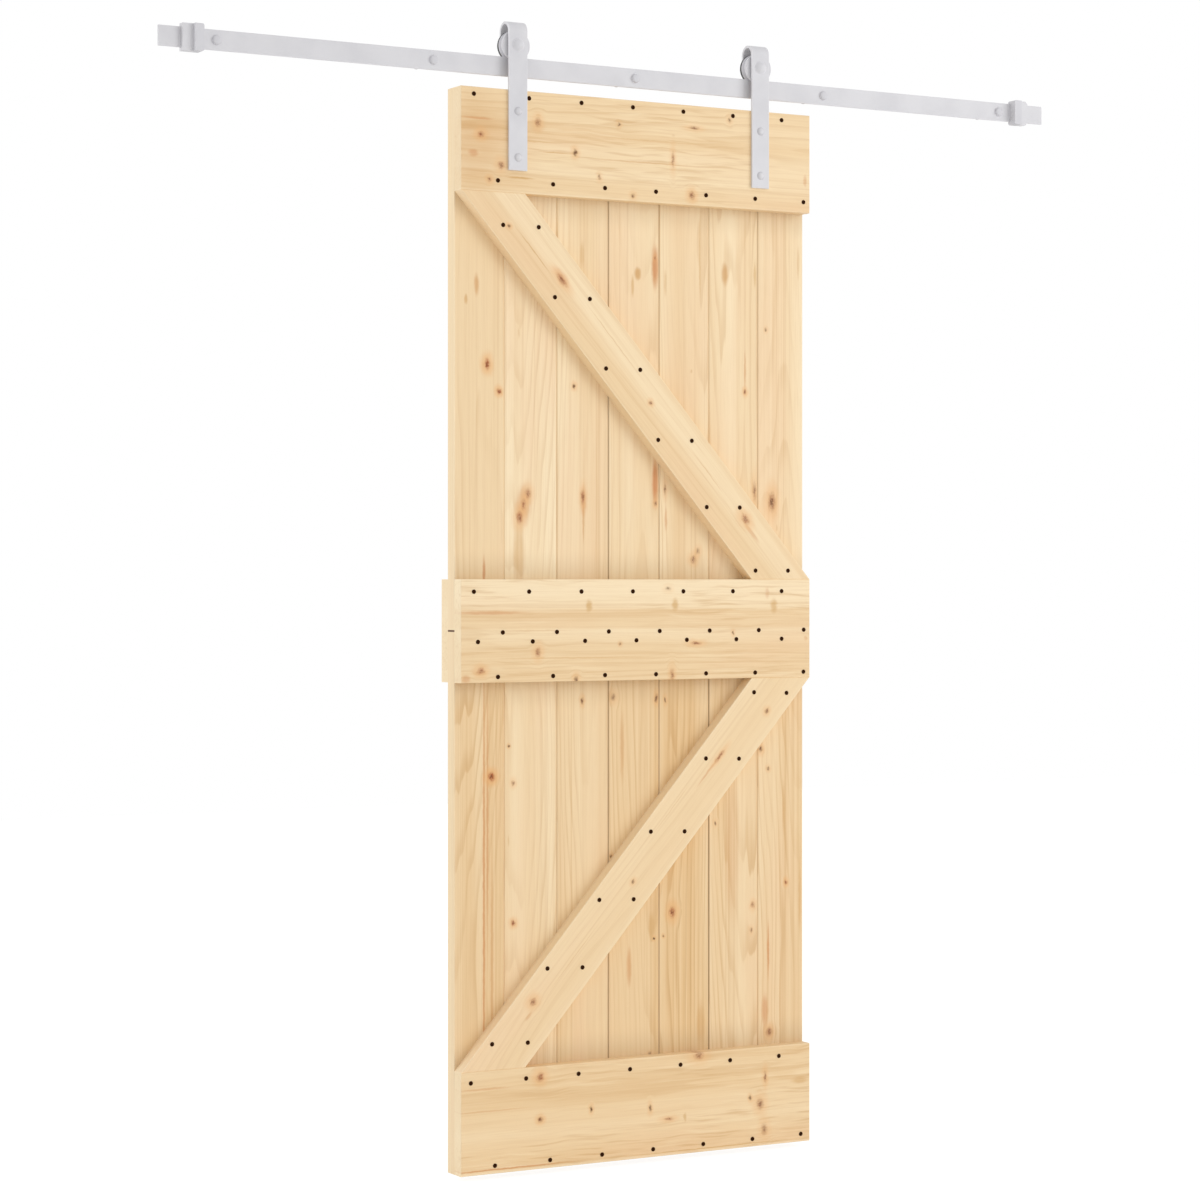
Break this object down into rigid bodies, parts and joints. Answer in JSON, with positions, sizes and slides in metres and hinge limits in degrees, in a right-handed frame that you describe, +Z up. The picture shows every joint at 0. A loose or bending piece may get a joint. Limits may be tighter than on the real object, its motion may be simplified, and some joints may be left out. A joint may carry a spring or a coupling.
{
  "type": "sliding barn door on a flat wall track",
  "caption": "Plank door with rails and diagonal braces, hung by two strap hangers whose grooved wheels roll along a flat steel wall track between two end stops.",
  "frame": {"origin": "on the wall, at the middle of the central track spacer's back face", "axes": "+X along the track to the right as seen from the room, +Y into the wall, +Z up"},
  "size_m": [2.015, 0.101, 2.234],
  "materials": {
    "board_pine": "planed knotty pine, clear satin",
    "rail_pine": "planed knotty pine, clear satin",
    "brace_pine": "planed knotty pine, clear satin",
    "painted_steel": "pale grey satin paint",
    "bumper_rubber": "pale grey matt",
    "wheel_steel": "pale grey satin paint"
  },
  "bodies": {
    "track": {"track": "painted_steel", "wall_spacers": "painted_steel", "track_bolts": "painted_steel", "left_stop_collar": "painted_steel", "right_stop_collar": "painted_steel", "left_stop_bumper": "bumper_rubber", "right_stop_bumper": "bumper_rubber"},
    "door": {"upper_board_1": "board_pine", "upper_board_2": "board_pine", "upper_board_3": "board_pine", "upper_board_4": "board_pine", "upper_board_5": "board_pine", "upper_board_6": "board_pine", "upper_board_7": "board_pine", "lower_board_1": "board_pine", "lower_board_2": "board_pine", "lower_board_3": "board_pine", "lower_board_4": "board_pine", "lower_board_5": "board_pine", "lower_board_6": "board_pine", "lower_board_7": "board_pine", "top_rail": "rail_pine", "middle_rail": "rail_pine", "bottom_rail": "rail_pine", "back_middle_rail": "rail_pine", "upper_brace": "brace_pine", "lower_brace": "brace_pine", "left_hanger_strap": "painted_steel", "right_hanger_strap": "painted_steel", "axle_bolts": "painted_steel", "strap_bolts": "painted_steel", "axle_nuts": "painted_steel", "strap_nuts": "painted_steel"},
    "left_roller": {"left_wheel": "wheel_steel"},
    "right_roller": {"right_wheel": "wheel_steel"}
  },
  "joints": [
    {"name": "door_slide", "type": "slide", "parent": "track", "child": "door", "axis": [1, 0, 0], "range_m": [-0.617, 0.606]},
    {"name": "left_wheel_spin", "type": "hinge", "parent": "door", "child": "left_roller", "pos_m": [-0.2725, -0.075, 0.0415], "axis": [0, 1, 0], "continuous": true},
    {"name": "right_wheel_spin", "type": "hinge", "parent": "door", "child": "right_roller", "pos_m": [0.2835, -0.075, 0.0415], "axis": [0, 1, 0], "continuous": true}
  ],
  "couplings": [
    {"joint": "left_wheel_spin", "follows": "door_slide", "rad_per_m": 45.045},
    {"joint": "right_wheel_spin", "follows": "door_slide", "rad_per_m": 45.045}
  ]
}
